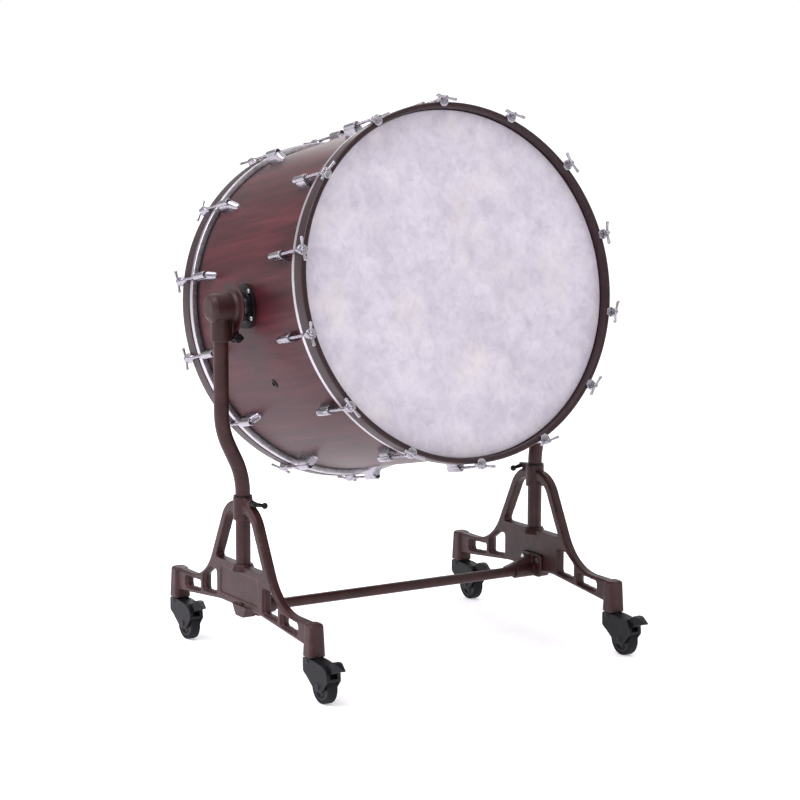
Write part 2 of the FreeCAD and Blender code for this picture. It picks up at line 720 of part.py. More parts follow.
def make_hood():
    # swivel head, stem and a hood that covers the upper half of the wheel
    half = hood_width / 2
    tread = wheel_radius + 3
    head_top = socket_bottom_height - side_gap
    points = [(20, head_top - 2), (20, 62), (2, 52), (-caster_trail + 14, 27), (-caster_trail - 14, 27),
              (-caster_trail - 42, 58), (-caster_trail - 40, 78), (-caster_trail - 20, head_top - 6),
              (-caster_trail + 20, head_top - 2)]
    radii = [4, 9, 12, 12, 12, 9, 14, 18, 14]
    body = plate_along_x(points, radii, -half, half)
    swivel = rod(20.5, vector(0, 0, head_top - 12), vector(0, 0, head_top))
    stem = rod(stem_radius, vector(0, 0, head_top - 6), vector(0, 0, socket_bottom_height + stem_length))
    body = body.fuse([swivel, stem])
    cheek = wheel_width / 2 + 1.6
    well = rod(tread, vector(-cheek, -caster_trail, wheel_radius), vector(cheek, -caster_trail, wheel_radius))
    below = block(vector(-cheek, -caster_trail - tread, -5), vector(cheek, -caster_trail + tread, wheel_radius))
    axle = rod(axle_radius, vector(-half - 5, -caster_trail, wheel_radius),
               vector(half + 5, -caster_trail, wheel_radius))
    pin_y, pin_z = pedal_pin()
    pin = rod(pedal_pin_radius + running_gap, vector(-half + 2, pin_y, pin_z), vector(half - 2, pin_y, pin_z))
    slot = block(vector(-9.5, pin_y - 30, pin_z - 14), vector(9.5, pin_y + 10, pin_z + 30))
    return body.cut([well, below, axle, pin, slot])


def make_wheel():
    outer = wheel_radius - tyre_thickness
    half = wheel_width / 2
    profile = [(axle_radius + running_gap, -half + 0.5), (11, -half + 0.5), (13, -half + 4), (outer - 5, -half + 4),
               (outer - 3, -half + 1), (outer, -half + 1), (outer, half - 1), (outer - 3, half - 1),
               (outer - 5, half - 4), (13, half - 4), (11, half - 0.5), (axle_radius + running_gap, half - 0.5)]
    wheel = turned(profile, "x")
    wheel.translate(vector(0, -caster_trail, wheel_radius))
    return wheel


def make_tyre():
    inner = wheel_radius - tyre_thickness
    half = wheel_width / 2
    profile = [(inner, -half + 1), (wheel_radius - 4, -half), (wheel_radius - 1, -half + 3), (wheel_radius, -half + 7),
               (wheel_radius, half - 7), (wheel_radius - 1, half - 3), (wheel_radius - 4, half), (inner, half - 1)]
    tyre = turned(profile, "x")
    tyre.translate(vector(0, -caster_trail, wheel_radius))
    return tyre


def make_axle():
    half = hood_width / 2
    shaft = rod(axle_radius, vector(-half - 0.5, -caster_trail, wheel_radius),
                vector(half + 0.5, -caster_trail, wheel_radius))
    caps = [Part.makeCone(8.5, 6.0, 3, vector(s * half, -caster_trail, wheel_radius), vector(s, 0, 0))
            for s in (-1, 1)]
    return shaft.fuse(caps)


def make_pedal():
    # foot brake with a pointed toe plate, hinged at the back of the hood
    pin_y, pin_z = pedal_pin()
    half = hood_width / 2
    side = plate_along_x([(pin_y + 7, pin_z), (pin_y + 3, pin_z + 14), (pin_y - 16, pin_z + 27),
                          (pin_y - 32, pin_z + 26), (-pedal_reach, pin_z + 15), (pin_y - 34, pin_z + 8),
                          (pin_y - 10, pin_z - 3), (pin_y, pin_z - 6)],
                         [3, 6, 8, 10, 1.2, 10, 3, 4], -half, half)
    plan = plate_along_z([(-8.5, pin_y + 15), (-8.5, pin_y - 14), (-12, pin_y - 24), (-2, -pedal_reach - 1),
                          (2, -pedal_reach - 1), (12, pin_y - 24), (8.5, pin_y - 14), (8.5, pin_y + 15)],
                         [0, 2, 4, 1.5, 1.5, 4, 2, 0], pin_z - 20, pin_z + 40)
    shaft = rod(pedal_pin_radius, vector(-half + 2.5, pin_y, pin_z), vector(half - 2.5, pin_y, pin_z))
    return side.common(plan).fuse(shaft)


# ---- write every node

for end in ("batter", "resonant"):
    save(end + "_head", on_drum(facing(make_head(), end)))
    save(end + "_flesh_hoop", on_drum(facing(make_flesh_hoop(), end)))
    save(end + "_counterhoop", on_drum(facing(make_counterhoop(), end)))
    save(end + "_claws", on_drum(facing(make_claws(), end)))
    save(end + "_tension_rods", on_drum(facing(make_tension_rods(), end)))

save("shell", on_drum(make_shell()))
save("lug_casings", on_drum(make_lugs()))
lug_bolts = make_lug_bolts()
save("lug_bolts", on_drum(Part.makeCompound(lug_bolts.Solids + facing(lug_bolts, "batter").Solids)))
save("vent_grommet", on_drum(make_vent_grommet()))
save("flange_screws", on_drum(make_flange_screws()))

for side in ("left", "right"):
    save(side + "_shell_flange", on_drum(on_side(make_shell_flange(), side)))
    save(side + "_trunnion", on_drum(on_side(make_trunnion(), side)))
    save(side + "_pivot_head", on_side(make_pivot_head(), side))
    save(side + "_pivot_bush", on_side(make_pivot_bush(), side))
    save(side + "_tilt_lock", on_side(make_tilt_lock(), side))
    save(side + "_upright", on_side(make_upright(), side))
    save(side + "_guide_bush", on_side(make_guide_bush(), side))
    # the two frames are one casting turned half round, so the right height lock is at the back
    save(side + "_end_frame", on_side(make_end_frame(1 if side == "right" else -1), side))
    save(side + "_guide_sleeve", on_side(make_guide_sleeve(), side))
    save(side + "_guide_rod", on_side(make_guide_rod(), side))
    lock = make_height_lock()
    if side == "right":
        lock = lock.mirror(vector(0, 0, 0), vector(0, 1, 0))
    save(side + "_height_lock", on_side(lock, side))

save("crossbar", make_crossbar())
right_bracket = make_bracket()
save("crossbar_brackets", Part.makeCompound([right_bracket, on_side(right_bracket, "left")]))
save("bracket_bolts", make_bracket_bolts())

caster_pieces = {"hood": make_hood(), "wheel": make_wheel(), "tyre": make_tyre(),
                 "axle": make_axle(), "pedal": make_pedal()}
caster_spots = {"front_left": (-1, -1), "front_right": (1, -1), "back_left": (-1, 1), "back_right": (1, 1)}
for spot, (x_sign, y_sign) in caster_spots.items():
    for piece, shape in caster_pieces.items():
        placed = shape.copy()
        placed.translate(vector(x_sign * frame_x, y_sign * wheelbase_half, 0))
        save(spot + "_" + piece, placed)
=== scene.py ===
import math

import bmesh
import bpy
import numpy as np
from mathutils import Matrix, Vector


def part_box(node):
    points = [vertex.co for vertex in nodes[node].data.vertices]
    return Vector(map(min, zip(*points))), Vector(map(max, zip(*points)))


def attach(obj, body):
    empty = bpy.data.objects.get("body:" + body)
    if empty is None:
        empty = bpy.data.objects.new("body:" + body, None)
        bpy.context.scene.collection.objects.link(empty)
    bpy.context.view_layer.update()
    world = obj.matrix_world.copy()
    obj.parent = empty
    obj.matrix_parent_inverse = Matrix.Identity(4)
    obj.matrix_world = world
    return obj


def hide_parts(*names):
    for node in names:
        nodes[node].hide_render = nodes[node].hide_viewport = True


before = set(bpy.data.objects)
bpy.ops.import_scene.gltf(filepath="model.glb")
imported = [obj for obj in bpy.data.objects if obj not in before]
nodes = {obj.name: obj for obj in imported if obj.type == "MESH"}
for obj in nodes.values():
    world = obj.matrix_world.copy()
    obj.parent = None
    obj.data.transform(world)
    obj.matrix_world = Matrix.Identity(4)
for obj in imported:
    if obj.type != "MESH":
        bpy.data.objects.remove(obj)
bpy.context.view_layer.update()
mm = 0.001
mergeDistance = 2e-6                             # metres; closes seams and poles
edgeGain = 6                                     # a corner lifts its points by about a sixth of a voxel
rng = np.random.default_rng(14)

pivotLow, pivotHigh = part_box("right_trunnion")
pivotZ = (pivotLow.z + pivotHigh.z) / 2 / mm     # height of the tilt axis
frameLow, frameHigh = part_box("right_guide_rod")
frameX = (frameLow.x + frameHigh.x) / 2 / mm     # plane of an end frame
drumTilt = math.radians(-11.7)                   # batter head looks a little up

# sizes in millimetres, as the CAD has them
drum = {"shellRadius": 401.5, "shellWall": 7.5, "halfDepth": 279.5, "filmGap": 0.3, "film": 1.0,
        "hoopOuter": 417.0, "hoopInner": 404.0, "hoopFace": 305.0, "hoopBack": 267.0,
        "fleshOuter": 415.5, "fleshInner": 402.8, "fleshBack": 253.0}
tension = {"count": 14, "circle": 424.0, "rod": 3.5, "lugEnd": 217.0, "lugLength": 66.0, "lugWidth": 24.0,
           "lugCover": 7.0, "clawPlate": 4.0, "clawBack": 281.0, "handleAt": 318.5, "handleHalf": 28.0}


# ---------- numbers and meshes

def polar(radius, angle):
    return radius * np.cos(angle), radius * np.sin(angle)


def roundedProfile(points, radii, steps=5):
    # each corner of a line of (r, a) pairs is cut back by its radius and filled with a quadratic curve
    points = np.asarray(points, float)
    out = []
    last = len(points) - 1
    t = np.linspace(0, 1, steps)[:, None]
    for i, (corner, radius) in enumerate(zip(points, radii)):
        if radius <= 0:
            out.append(corner[None])
            continue
        back = points[i - 1] - corner
        ahead = points[0 if i == last else i + 1] - corner
        start = corner + back / np.linalg.norm(back) * radius
        end = corner + ahead / np.linalg.norm(ahead) * radius
        out.append((1 - t) ** 2 * start + 2 * t * (1 - t) * corner + t ** 2 * end)
    return np.vstack(out)


def gridFaces(rows, columns, closeRows=False, closeColumns=False):
    # quads (i, j) (i, j+1) (i+1, j+1) (i+1, j) of a rows x columns grid, wrapped where a way is closed
    i = np.arange(rows if closeRows else rows - 1)[:, None]
    j = np.arange(columns if closeColumns else columns - 1)[None]
    up, right = (i + 1) % rows, (j + 1) % columns
    quads = np.stack([i * columns + j, i * columns + right, up * columns + right, up * columns + j], -1)
    return quads.reshape(-1, 4)


def turn(profile, axis, segments=96, closed=True):
    # surface of revolution: (r, a) goes to r cos t, r sin t about the axis and a along it
    profile = np.asarray(profile, float)
    t = np.linspace(0, 2 * math.pi, segments, endpoint=False)[:, None]
    r, a = profile[:, 0][None], profile[:, 1][None] + 0 * t
    across, up = r * np.cos(t), r * np.sin(t)
    stack = {"x": (a, across, up), "y": (up, a, across), "z": (across, up, a)}[axis]
    points = np.stack(stack, -1).reshape(-1, 3)
    return points, gridFaces(segments, len(profile), True, closed)


def sweepFlat(path, sections, side=(0, 1, 0)):
    # a section of (sideways, outward) offsets carried along a path in one plane; side is that plane's normal
    path, side = np.asarray(path, float), np.asarray(side, float)
    tangent = np.gradient(path, axis=0)
    tangent /= np.linalg.norm(tangent, axis=1)[:, None]
    outward = np.cross(tangent, side)
    points = path[:, None] + sections[..., :1] * side + sections[..., 1:] * outward[:, None]
    count = sections.shape[-2]
    faces = gridFaces(len(path), count, False, True).tolist()
    caps = [list(range(count))[::-1], [(len(path) - 1) * count + k for k in range(count)]]
    return points.reshape(-1, 3), faces + caps


def ringSection(radius, segments=16, power=2.0, width=None, depth=None):
    # superellipse |x/w|^p + |y/d|^p = 1, round where p is 2 and squarer above
    t = np.linspace(0, 2 * math.pi, segments, endpoint=False)
    c, s = np.cos(t), np.sin(t)
    x = np.sign(c) * np.abs(c) ** (2 / power) * (width or radius)
    y = np.sign(s) * np.abs(s) ** (2 / power) * (depth or radius)
    return np.stack([x, y], -1)


def moved(part, by=(0, 0, 0), about=None, angle=0.0):
    # turned by an angle about an axis through the origin, then shifted
    points, faces = part
    if about is not None:
        c, s = math.cos(angle), math.sin(angle)
        a, b = {"x": (1, 2), "y": (2, 0), "z": (0, 1)}[about]
        turned = points.copy()
        turned[:, a] = points[:, a] * c - points[:, b] * s
        turned[:, b] = points[:, a] * s + points[:, b] * c
        points = turned
    return points + np.asarray(by, float), faces


def flipped(part, axis):
    points = part[0].copy()
    points[:, axis] *= -1
    return points, [list(face)[::-1] for face in part[1]]


def joined(parts):
    points, faces, offset = [], [], 0
    for p, f in parts:
        points.append(p)
        faces += [[v + offset for v in face] for face in (f.tolist() if hasattr(f, "tolist") else f)]
        offset += len(p)
    return np.vstack(points), faces


def onDrum(part):
    # from the drum's own frame (axis along Y, centre at the origin) to its tilted place
    return moved(part, (0, 0, pivotZ), "x", drumTilt)


def facing(part, end):
    return flipped(part, 1) if end == "batter" else part


def onSide(part, side):
    return flipped(part, 0) if side == "left" else part


def makePiece(name, parts, material, body, stands=(), sharp=35):
    points, faces = joined(parts)
    mesh = bpy.data.meshes.new(name)
    mesh.from_pydata((points * mm).tolist(), [], faces)
    work = bmesh.new()
    work.from_mesh(mesh)
    bmesh.ops.remove_doubles(work, verts=work.verts, dist=mergeDistance)
    bmesh.ops.recalc_face_normals(work, faces=work.faces)
    work.to_mesh(mesh)
    work.free()
    return finishPiece(name, mesh, material, body, stands, sharp)


def finishPiece(name, mesh, material, body, stands, sharp):
    mesh.polygons.foreach_set("use_smooth", np.ones(len(mesh.polygons), bool))
    mesh.set_sharp_from_angle(angle=math.radians(sharp))
    piece = bpy.data.objects.new(name, mesh)
    bpy.context.scene.collection.objects.link(piece)
    mesh.materials.clear()
    mesh.materials.append(material)
    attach(piece, body)
    if stands:
        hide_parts(*stands)
    return piece


def castCopy(node, voxel, material, body, smooth=3, sharp=60):
    # a casting or moulding: the CAD solid voxel-remeshed and relaxed, so that its edges are softly rounded,
    # with an "edge" attribute: how far each point's neighbours sit below its tangent plane
    source = bpy.data.meshes.new(node + "Source")
    work = bmesh.new()
    work.from_mesh(nodes[node].data)
    bmesh.ops.remove_doubles(work, verts=work.verts, dist=mergeDistance)
    work.to_mesh(source)
    work.free()
    shape = bpy.data.objects.new(node + "Shape", source)
    bpy.context.scene.collection.objects.link(shape)
    remesh = shape.modifiers.new("skin", "REMESH")
    remesh.mode, remesh.voxel_size, remesh.adaptivity = "VOXEL", voxel * mm, 0.0
    relax = shape.modifiers.new("relax", "SMOOTH")
    relax.factor, relax.iterations = 0.5, smooth
    mesh = bpy.data.meshes.new_from_object(shape.evaluated_get(bpy.context.evaluated_depsgraph_get()))
    bpy.data.objects.remove(shape)
    count = len(mesh.vertices)
    points, normals = np.zeros(count * 3), np.zeros(count * 3)
    mesh.vertices.foreach_get("co", points)
    mesh.vertices.foreach_get("normal", normals)
    points, normals = points.reshape(-1, 3), normals.reshape(-1, 3)
    ends = np.zeros(len(mesh.edges) * 2, int)
    mesh.edges.foreach_get("vertices", ends)
    a, b = ends.reshape(-1, 2).T
    total, degree = np.zeros((count, 3)), np.zeros(count)
    np.add.at(total, a, points[b])
    np.add.at(total, b, points[a])
    np.add.at(degree, a, 1)
    np.add.at(degree, b, 1)
    lift = ((points - total / degree[:, None]) * normals).sum(1) / (voxel * mm)
    edge = np.clip(lift * edgeGain, 0, 1).astype(np.float32)
    mesh.attributes.new("edge", "FLOAT", "POINT").data.foreach_set("value", edge)
    mesh.name = node
    return finishPiece(node + "_cast", mesh, material, body, [node], sharp)


# ---------- materials

def linearHex(code):
    # sRGB hex to linear light
    channels = np.array([int(code[k:k + 2], 16) for k in (1, 3, 5)]) / 255
    low, high = channels / 12.92, ((channels + 0.055) / 1.055) ** 2.4
    return tuple(np.where(channels <= 0.04045, low, high)) + (1.0,)


def addNode(tree, kind, inputs=None, **settings):
    made = tree.nodes.new("ShaderNode" + kind)
    for key, value in settings.items():
        setattr(made, key, value)
    for key, value in (inputs or {}).items():
        if isinstance(value, bpy.types.NodeSocket):
            tree.links.new(value, made.inputs[key])
        else:
            made.inputs[key].default_value = value
    return made


def startMaterial(name, shader):
    # a new node tree with its shader; the shader's uniform numbers are set on its own sockets
    material = bpy.data.materials.new(name)
    material.use_nodes = True
    tree = material.node_tree
    tree.nodes.clear()
    surface = addNode(tree, "BsdfPrincipled", shader)
    addNode(tree, "OutputMaterial", {"Surface": surface.outputs[0]})
    return material, tree, surface


def ramp(tree, factor, stops):
    # colours at positions from 0 to 1
    made = addNode(tree, "ValToRGB", {"Fac": factor})
    band = made.color_ramp
    while len(band.elements) < len(stops):
        band.elements.new(0.5)
    for element, (place, colour) in zip(band.elements, stops):
        element.position = place
        element.color = linearHex(colour) if isinstance(colour, str) else (colour, colour, colour, 1)
    return made.outputs["Color"]


def objectCoords(tree, about=(0, 0, 0), turnX=0.0, stretch=(1, 1, 1)):
    # Object coordinates in metres, moved to a piece's own centre, turned, and squeezed along its axes
    raw = addNode(tree, "TexCoord").outputs["Object"]
    centred = addNode(tree, "Mapping", {"Vector": raw, "Location": about}, vector_type="POINT").outputs[0]
    turned = addNode(tree, "Mapping", {"Vector": centred, "Rotation": (turnX, 0, 0)}).outputs[0]
    return addNode(tree, "Mapping", {"Vector": turned, "Scale": stretch}).outputs[0]


def noise(tree, coords, size, detail=3.0, rough=0.5, distortion=0.0):
    # size is the width of one blotch, in millimetres
    return addNode(tree, "TexNoise", {"Vector": coords, "Scale": 1 / (size * mm), "Detail": detail,
                                      "Roughness": rough, "Distortion": distortion}).outputs["Fac"]


def blend(tree, kind, factor, a, b):
    made = addNode(tree, "Mix", None, data_type="RGBA", blend_type=kind)
    for key, value in ((0, factor), (6, a), (7, b)):
        if isinstance(value, bpy.types.NodeSocket):
            tree.links.new(value, made.inputs[key])
        else:
            made.inputs[key].default_value = linearHex(value) if isinstance(value, str) else value
    return made.outputs[2]


def remap(tree, value, low, high, fromLow=0.0, fromHigh=1.0):
    return addNode(tree, "MapRange", {"Value": value, "From Min": fromLow, "From Max": fromHigh,
                                      "To Min": low, "To Max": high}).outputs[0]


def bump(tree, surface, height, strength, distance):
    # distance is the height of the relief in millimetres
    made = addNode(tree, "Bump", {"Height": height, "Strength": strength, "Distance": distance * mm})
    tree.links.new(made.outputs[0], surface.inputs["Normal"])


def shellVeneer():
    # stained mahogany veneer under semi-gloss lacquer: long fine pores and slow bands of tone along the drum,
    # and a painted shadow band near each end
    material, tree, surface = startMaterial("stainedMahoganyVeneer", {
        "IOR": 1.5, "Specular IOR Level": 0.24, "Coat Weight": 0.06, "Coat Roughness": 0.24, "Coat IOR": 1.5})
    drumFrame = {"about": (0, 0, -pivotZ * mm), "turnX": -drumTilt}
    long = objectCoords(tree, stretch=(1, 0.06, 1), **drumFrame)
    fine = objectCoords(tree, stretch=(1, 0.025, 1), **drumFrame)
    bands = noise(tree, long, 26, 4, 0.55, 0.6)       # 26 mm figure, drawn out along the grain
    pores = noise(tree, fine, 1.6, 3, 0.6)            # real pores are 0.3 mm; coarser so that they show
    cloud = noise(tree, objectCoords(tree, **drumFrame), 160, 2)
    tone = ramp(tree, bands, [(0.28, "#381218"), (0.5, "#491b21"), (0.72, "#5d282e")])
    tone = blend(tree, "MULTIPLY", 0.5, tone, ramp(tree, pores, [(0.34, "#8d706c"), (0.5, "#ffffff")]))
    tone = blend(tree, "SOFT_LIGHT", 0.35, tone, ramp(tree, cloud, [(0.3, "#5a5a5a"), (0.7, "#a8a8a8")]))
    # painted shade: towards each end the shell is blended to near black #140909, standing in for the shadow
    # the flesh hoop casts on it
    along = addNode(tree, "SeparateXYZ", {0: objectCoords(tree, **drumFrame)}).outputs["Y"]
    depth = addNode(tree, "Math", {0: along}, operation="ABSOLUTE").outputs[0]
    paintedShadeBand = remap(tree, depth, 0.0, 1.0, 0.238, 0.242)     # painted shade: near-black band from 238 mm out, the flesh hoop's shadow on the shell
    tone = blend(tree, "MIX", paintedShadeBand, tone, "#140909")
    tree.links.new(tone, surface.inputs["Base Color"])
    tree.links.new(remap(tree, pores, 0.36, 0.5), surface.inputs["Roughness"])
    bump(tree, surface, pores, 0.25, 0.12)
    return material


def hoopLacquer():
    # dark wine-brown lacquer on bent hardwood: tone follows the hoop, edges rubbed a little lighter
    material, tree, surface = startMaterial("wineBrownHoopLacquer", {
        "IOR": 1.5, "Specular IOR Level": 0.3, "Coat Weight": 0.15, "Coat Roughness": 0.2})
    coords = objectCoords(tree, (0, 0, -pivotZ * mm), -drumTilt, (1, 3.0, 1))
    grain = noise(tree, coords, 9, 5, 0.6, 0.4)
    rubs = noise(tree, objectCoords(tree), 45, 4, 0.65)
    tone = ramp(tree, grain, [(0.3, "#1e0c0e"), (0.55, "#2b1417"), (0.75, "#3a1e21")])
    tone = blend(tree, "MIX", remap(tree, rubs, 0.0, 0.25, 0.55, 0.8), tone, "#4a3338")
    tree.links.new(tone, surface.inputs["Base Color"])
    tree.links.new(remap(tree, rubs, 0.34, 0.52), surface.inputs["Roughness"])
    bump(tree, surface, grain, 0.2, 0.15)
    return material


def calfFilm():
    # calf-look polyester head: cloudy off-white, a faint lilac cast, warm patches and short pale fibres
    material, tree, surface = startMaterial("calfLookHeadFilm", {
        "IOR": 1.57, "Roughness": 0.5, "Subsurface Weight": 0.08, "Subsurface Scale": 0.004,
        "Subsurface Radius": (1.0, 0.9, 0.8)})
    coords = objectCoords(tree, (0, 0, -pivotZ * mm), -drumTilt)
    clouds = noise(tree, coords, 62, 6, 0.62, 0.5)     # 60 mm clouds
    blotches = noise(tree, coords, 21, 5, 0.6, 0.9)    # 20 mm blotches inside them
    warm = noise(tree, coords, 120, 3, 0.5)
    fibres = noise(tree, objectCoords(tree, (0, 0, -pivotZ * mm), -drumTilt, (1, 1, 0.22)), 5, 4, 0.7, 1.4)
    tone = ramp(tree, clouds, [(0.3, "#cac3ce"), (0.48, "#d4ced8"), (0.62, "#dcd6df"), (0.78, "#e3dee5")])
    mottle = ramp(tree, blotches, [(0.32, "#dad3dc"), (0.5, "#f4f2f5"), (0.68, "#ffffff")])
    tone = blend(tree, "MULTIPLY", 0.42, tone, mottle)
    tone = blend(tree, "MIX", remap(tree, warm, 0.0, 0.3, 0.52, 0.75), tone, "#e4dbd2")
    tone = blend(tree, "SOFT_LIGHT", 0.25, tone, ramp(tree, fibres, [(0.35, "#6e6e6e"), (0.65, "#a0a0a0")]))
    tree.links.new(tone, surface.inputs["Base Color"])
    tree.links.new(remap(tree, blotches, 0.42, 0.58), surface.inputs["Roughness"])
    bump(tree, surface, fibres, 0.12, 0.08)
    return material


def brightMetal(name, colour, roughLow, roughHigh, smearSize, dark):
    # polished or ground metal: clear reflections broken by handling smears, a little dirt in the dips
    material, tree, surface = startMaterial(name, {"Metallic": 1.0})
    smear = noise(tree, objectCoords(tree, stretch=(1, 1, 2.5)), smearSize, 4, 0.6, 0.5)
    specks = noise(tree, objectCoords(tree), smearSize * 0.14, 2, 0.5)
    tone = ramp(tree, specks, [(0.28, dark), (0.42, colour)])
    tree.links.new(tone, surface.inputs["Base Color"])
    tree.links.new(remap(tree, smear, roughLow, roughHigh, 0.3, 0.7), surface.inputs["Roughness"])
    bump(tree, surface, smear, 0.05, 0.1)
    return material


def spunAluminium():
    # satin aluminium ring: fine turning lines that follow the hoop
    material, tree, surface = startMaterial("satinFleshHoopAluminium", {"Metallic": 1.0})
    lines = noise(tree, objectCoords(tree, (0, 0, -pivotZ * mm), -drumTilt, (0.3, 4, 0.3)), 3, 3, 0.6)
    tree.links.new(ramp(tree, lines, [(0.3, "#b9b5ba"), (0.7, "#dcd9dd")]), surface.inputs["Base Color"])
    tree.links.new(remap(tree, lines, 0.28, 0.46), surface.inputs["Roughness"])
    bump(tree, surface, lines, 0.15, 0.05)
    return material


def standPaint(name, dark, mid, light, worn, gloss=0.3):
    # maroon-brown powder coat on cast aluminium: orange peel, sand-cast waviness, edges rubbed paler
    material, tree, surface = startMaterial(name, {
        "IOR": 1.5, "Specular IOR Level": gloss, "Coat Weight": 0.06, "Coat Roughness": 0.25})
    peel = noise(tree, objectCoords(tree), 2.6, 2, 0.5)       # orange peel, drawn at 2.6 mm
    cast = noise(tree, objectCoords(tree), 38, 4, 0.6, 0.3)
    scuff = noise(tree, objectCoords(tree), 12, 5, 0.7, 0.6)
    tone = ramp(tree, cast, [(0.28, dark), (0.52, mid), (0.76, light)])
    edge = addNode(tree, "Attribute", None, attribute_name="edge", attribute_type="GEOMETRY").outputs["Fac"]
    patchy = remap(tree, scuff, 0.0, 1.0, 0.42, 0.66)
    rubbed = addNode(tree, "Math", {0: edge, 1: patchy}, operation="MULTIPLY").outputs[0]
    tone = blend(tree, "MIX", remap(tree, rubbed, 0.0, 0.55, 0.1, 0.9), tone, worn)
    tree.links.new(tone, surface.inputs["Base Color"])
    tree.links.new(remap(tree, scuff, 0.38, 0.56), surface.inputs["Roughness"])
    bump(tree, surface, peel, 0.22, 0.12)
    return material


def mouldedPlastic(name, dark, light, rough, grain):
    # injection-moulded plastic: even colour, spark-eroded grain, dust and scuffs that dull it in patches
    material, tree, surface = startMaterial(name, {"IOR": 1.49, "Specular IOR Level": 0.22})
    dust = noise(tree, objectCoords(tree), 18, 5, 0.65, 0.4)
    pits = noise(tree, objectCoords(tree), grain, 2, 0.5)
    edge = addNode(tree, "Attribute", None, attribute_name="edge", attribute_type="GEOMETRY").outputs["Fac"]
    tone = ramp(tree, dust, [(0.3, dark), (0.72, light)])
    tone = blend(tree, "MIX", remap(tree, edge, 0.0, 0.35, 0.1, 0.9), tone, "#4c4a4e")
    tree.links.new(tone, surface.inputs["Base Color"])
    tree.links.new(remap(tree, dust, rough - 0.08, rough + 0.1), surface.inputs["Roughness"])
    bump(tree, surface, pits, 0.25, 0.08)
    return material


finishes = {
    "shell": shellVeneer(),
    "hoop": hoopLacquer(),
    "head": calfFilm(),
    "flesh": spunAluminium(),
    "chrome": brightMetal("handledChrome", "#a8a4ab", 0.14, 0.32, 22, "#6c6970"),
    "zinc": brightMetal("zincPlatedSteel", "#b3b1b3", 0.26, 0.45, 10, "#7b797b"),
    "ground": brightMetal("groundSteel", "#bdbcc0", 0.18, 0.34, 14, "#8b898d"),
    "paint": standPaint("maroonPowderCoat", "#28110f", "#351919", "#432323", "#6b5553"),
    "flange": standPaint("darkSatinCastingPaint", "#090505", "#0e0808", "#150d0d", "#2a2020", 0.2),
    "nylon": mouldedPlastic("greyNylonHood", "#0a0a0c", "#131215", 0.5, 1.2),
    "wheel": mouldedPlastic("greyNylonWheel", "#171619", "#232226", 0.46, 1.0),
    "black": mouldedPlastic("blackMouldedKnob", "#070708", "#101012", 0.36, 0.9),
    "bush": mouldedPlastic("darkAcetalBush", "#0e0c0d", "#181516", 0.42, 0.9),
    "tyre": mouldedPlastic("darkRubberTyre", "#0a0a0c", "#161519", 0.68, 1.4),
}
print("finishes made:", len(finishes))


# ---------- drum

def makeShell():
    outer, inner, half = drum["shellRadius"], drum["shellRadius"] - drum["shellWall"], drum["halfDepth"]
    along = np.linspace(-half + 3, half - 3, 25)
    body = [(outer, a) for a in along]
    edge = [(outer - 2, half), (outer - 3, half), (inner, half - 5), (inner, -half + 5),
            (outer - 3, -half), (outer - 2, -half)]
    return onDrum(turn(body + edge, "y", 256))


def makeHead():
    inside = drum["shellRadius"] + drum["filmGap"]
    outside = inside + drum["film"]
    low = drum["halfDepth"] + drum["filmGap"]
    high, foot = low + drum["film"], drum["fleshBack"] + 2
    flat = [(r, high) for r in np.linspace(0, outside - 12, 20)]
    rim = roundedProfile([(outside - 6, high), (outside, high), (outside, foot)], [0, 2.6, 0], 7)
    back = roundedProfile([(inside, foot), (inside, low), (0, low)], [0, 1.6, 0], 5)
    return turn(np.vstack([flat, rim, back]), "y", 256, closed=False)


def makeFleshHoop():
    a, b = drum["fleshInner"], drum["fleshOuter"]
    low, high = drum["fleshBack"], drum["hoopBack"]
    return turn(roundedProfile([(a, low), (b, low), (b, high), (a, high)], [0.8, 2.4, 1.6, 0.8], 5), "y", 256)


def makeCounterhoop():
    a, b = drum["hoopInner"], drum["hoopOuter"]
    low, high = drum["hoopBack"], drum["hoopFace"]
    return turn(roundedProfile([(a, low), (b, low), (b, high), (a, high)], [1.0, 2.0, 5.5, 5.5], 8), "y", 256)


def saddle(along, base, tops, halfWidths, power):
    # a humped bar on a round base: each section is the half superellipse |z/w|^p + |(x-base)/h|^p = 1
    t = np.linspace(0, math.pi, 23)
    c, v = np.cos(t), np.sin(t)
    across = np.sign(c) * np.abs(c) ** (2 / power)
    up = np.abs(v) ** (2 / power)
    x = base + (tops - base)[:, None] * up[None]
    z = halfWidths[:, None] * across[None]
    y = along[:, None] + 0 * x
    points = np.stack([x, y, z], -1).reshape(-1, 3)
    count, rows = len(t), len(along)
    faces = gridFaces(rows, count, False, True).tolist()
    return points, faces + [list(range(count)), [(rows - 1) * count + k for k in range(count)][::-1]]


def roundedEnds(share, low, high):
    # 1 in the middle, falling as a quarter circle over the first and last shares
    start = np.sqrt(np.clip(1 - ((low - share) / low).clip(0, 1) ** 2, 0.02, 1))
    end = np.sqrt(np.clip(1 - ((share - 1 + high) / high).clip(0, 1) ** 2, 0.02, 1))
    return start * end


# the tongue over the hoop's face, then the wedge along its outside
claw = {"tipHalf": 6.2, "swell": 6.3, "drawIn": 2.5, "nose": 3.2, "backHeight": 5.5, "rise": 8.6,
        "backHalf": 5.5, "spread": 7.3}


